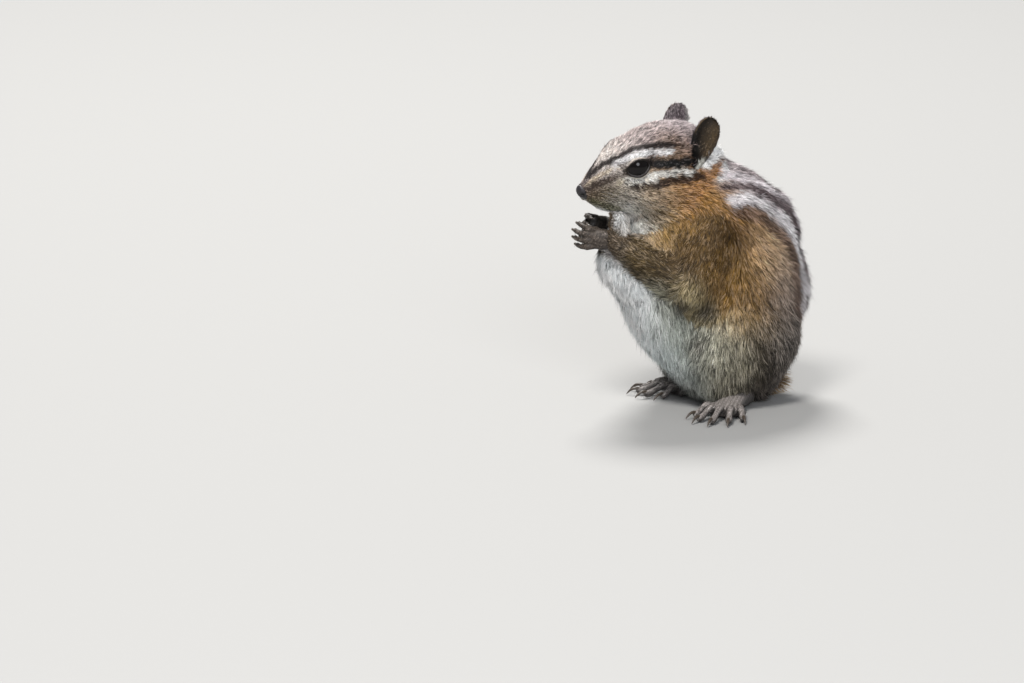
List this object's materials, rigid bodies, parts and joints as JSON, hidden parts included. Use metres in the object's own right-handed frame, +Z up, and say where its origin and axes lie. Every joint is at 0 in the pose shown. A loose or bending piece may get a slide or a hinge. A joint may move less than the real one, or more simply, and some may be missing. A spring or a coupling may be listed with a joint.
{
  "type": "chipmunk",
  "caption": "Life-size chipmunk sitting up on its haunches with both hands held together under its mouth, tail laid out behind.",
  "frame": {"origin": "middle of the base of the whole model's box, on the floor that it sits on", "axes": "+Z up, the animal faces -X, its own left side faces -Y, and its tail runs away towards +Y"},
  "size_m": [0.0908, 0.1202, 0.0822],
  "materials": {
    "coat_head": "short matt fur, grizzled brown with pale and dark stripes",
    "coat_shoulder": "soft matt fur, orange brown",
    "coat_belly": "soft matt fur, off white",
    "coat_rump": "soft matt fur, grizzled grey brown",
    "coat_limb": "short matt fur, grizzled olive brown",
    "coat_thigh": "soft matt fur, buff brown",
    "coat_tail": "long matt fur, brown edged with dark and buff",
    "paw": "short satin hair over bare skin, grey brown",
    "claw": "satin horn, dark brown",
    "ear": "thin skin with very short hair, dark olive brown",
    "eye": "wet gloss, near black",
    "nose": "moist satin skin, dark grey"
  },
  "bodies": {
    "root": {"head": "coat_head", "neck": "coat_shoulder", "chest": "coat_shoulder", "belly": "coat_belly", "rump": "coat_rump", "upper_arm_left": "coat_limb", "upper_arm_right": "coat_limb", "forearm_left": "coat_limb", "forearm_right": "coat_limb", "thigh_left": "coat_thigh", "thigh_right": "coat_thigh", "hand_left": "paw", "hand_right": "paw", "foot_left": "paw", "foot_right": "paw", "tail": "coat_tail", "ear_left": "ear", "ear_right": "ear", "eye_left": "eye", "eye_right": "eye", "nose": "nose"}
  },
  "joints": []
}
